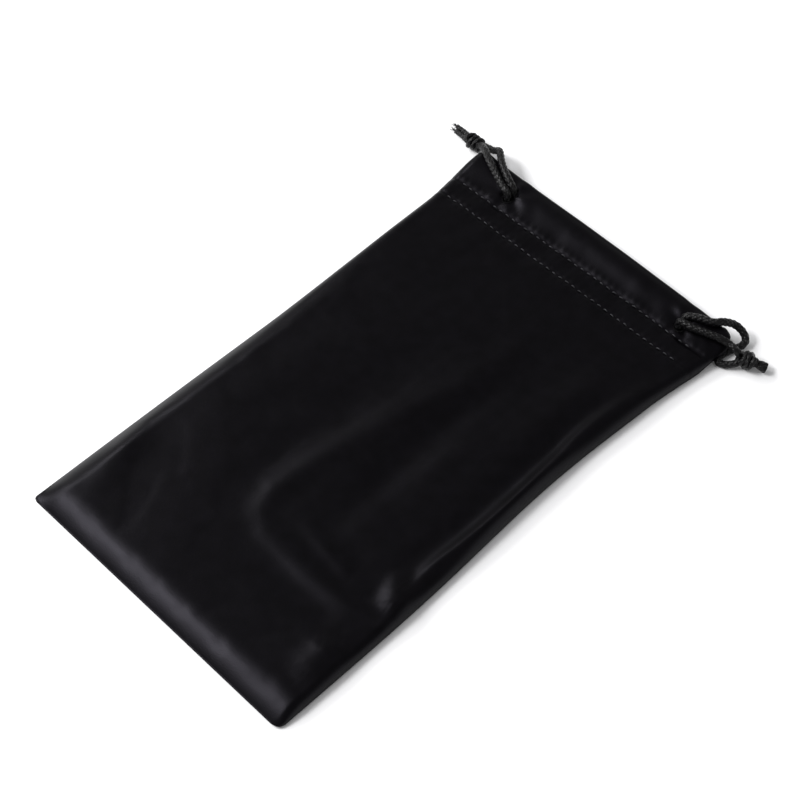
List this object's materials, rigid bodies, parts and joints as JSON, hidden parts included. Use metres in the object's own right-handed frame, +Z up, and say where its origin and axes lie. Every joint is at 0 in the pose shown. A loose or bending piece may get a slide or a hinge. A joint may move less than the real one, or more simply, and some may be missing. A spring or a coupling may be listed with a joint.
{
  "type": "drawstring glasses pouch",
  "caption": "Soft flat drawstring pouch of black cloth for glasses, with a stitched casing at the mouth and a knotted drawcord at each side.",
  "frame": {"origin": "centre of the pouch's footprint, on the surface that it lies on", "axes": "+X across the pouch to the right of the front, +Y along it to the mouth, +Z up out of the surface"},
  "size_m": [0.1287, 0.1817, 0.0098],
  "materials": {
    "cloth": "soft short pile",
    "seam_thread": "matte thread",
    "topstitch_thread": "slightly shiny thread",
    "cord": "braided, slight sheen"
  },
  "bodies": {
    "back": {"back_panel": "cloth", "left_side_seam": "seam_thread", "right_side_seam": "seam_thread", "bottom_seam": "seam_thread", "back_upper_topstitch": "topstitch_thread", "back_lower_topstitch": "topstitch_thread", "left_cord_back_run": "cord", "right_cord_back_run": "cord", "left_cord_side_turns": "cord", "right_cord_side_turns": "cord"},
    "front": {"front_panel": "cloth", "front_upper_topstitch": "topstitch_thread", "front_lower_topstitch": "topstitch_thread", "left_buttonhole_stitching": "seam_thread", "right_buttonhole_stitching": "seam_thread", "left_cord_front_run": "cord", "right_cord_front_run": "cord"},
    "left_pull": {"left_upper_strand": "cord", "left_lower_strand": "cord", "left_knot": "cord", "left_tails": "cord"},
    "right_pull": {"right_upper_strand": "cord", "right_lower_strand": "cord", "right_knot": "cord", "right_tail": "cord"}
  },
  "joints": [
    {"name": "mouth_open", "type": "hinge", "parent": "back", "child": "front", "pos_m": [0, -0.0897, 0.0009], "axis": [1, 0, 0], "range_deg": [0, 10], "deforming": ["left_cord_side_turns", "right_cord_side_turns"]},
    {"name": "left_cord_pull", "type": "slide", "parent": "front", "child": "left_pull", "axis": [-1, 0, 0], "range_m": [0, 0.012], "deforming": ["left_upper_strand", "left_lower_strand"]},
    {"name": "right_cord_pull", "type": "slide", "parent": "front", "child": "right_pull", "axis": [1, 0, 0], "range_m": [0, 0.012], "deforming": ["right_upper_strand", "right_lower_strand"]}
  ]
}
